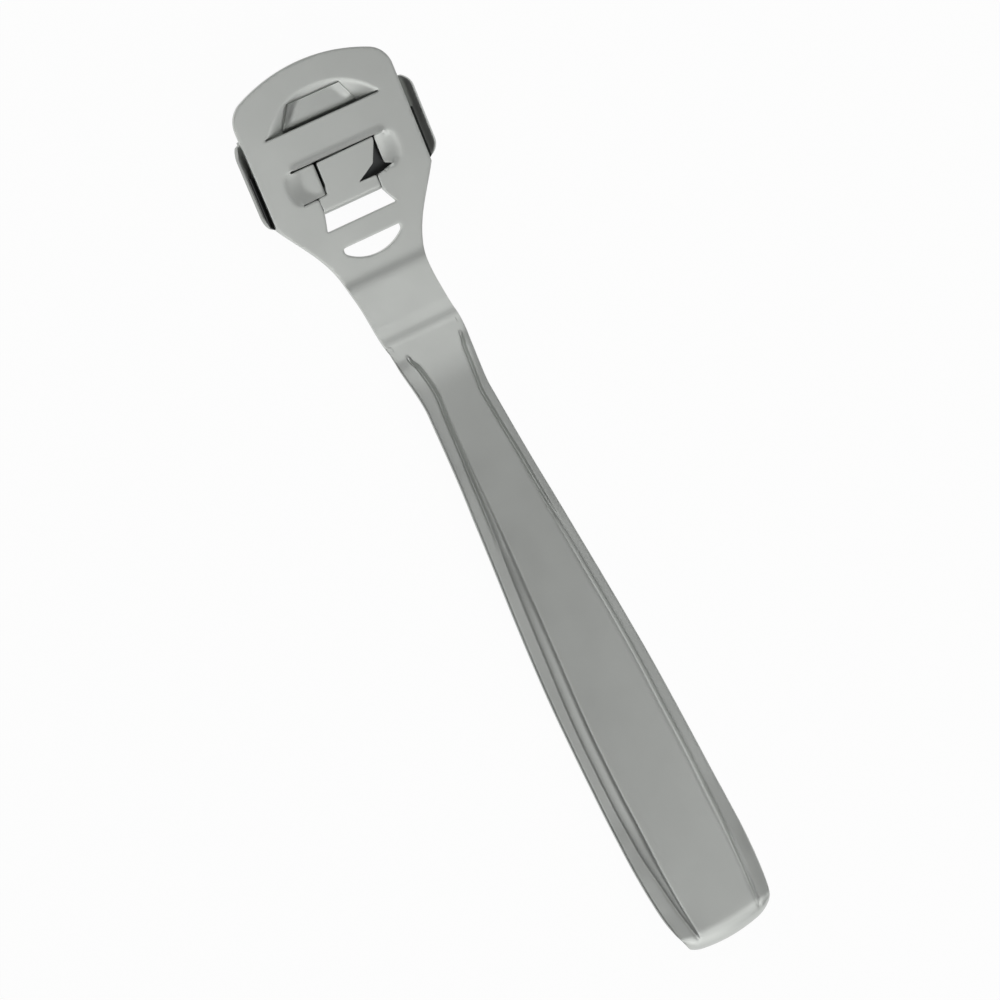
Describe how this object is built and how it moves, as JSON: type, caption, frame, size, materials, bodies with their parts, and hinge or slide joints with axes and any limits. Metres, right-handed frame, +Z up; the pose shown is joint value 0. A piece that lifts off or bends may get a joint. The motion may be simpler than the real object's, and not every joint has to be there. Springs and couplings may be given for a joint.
{
  "type": "callus shaver",
  "caption": "Stamped steel callus shaver: hat-section handle rising from a scooped head, with an arched sole plate that hooks on, swings down and clamps a thin blade with a spring latch.",
  "frame": {"origin": "bottom centre of the tool as it lies on a table, sole plate and handle down", "axes": "+X along the tool towards the nose of the head, +Y to the user's left when the nose points away, +Z up, away from the skin side"},
  "size_m": [0.1636, 0.0348, 0.0134],
  "materials": {
    "satin_steel": "satin, finely blasted",
    "sole_steel": "satin",
    "blade_steel": "ground",
    "latch_steel": "satin"
  },
  "bodies": {
    "handle": {"handle_body": "satin_steel"},
    "clamp": {"sole_plate": "sole_steel", "blade": "blade_steel"},
    "latch": {"latch_tongue": "latch_steel"}
  },
  "joints": [
    {"name": "clamp_swing", "type": "hinge", "parent": "handle", "child": "clamp", "pos_m": [0.0716, 0, 0.0087], "axis": [0, -1, 0], "range_deg": [0, 50]},
    {"name": "latch_flex", "type": "hinge", "parent": "clamp", "child": "latch", "pos_m": [0.06551, 0, 0.00317], "axis": [0, -1, 0], "range_deg": [0, 8], "stiffness_Nm_per_rad": 0.18}
  ]
}
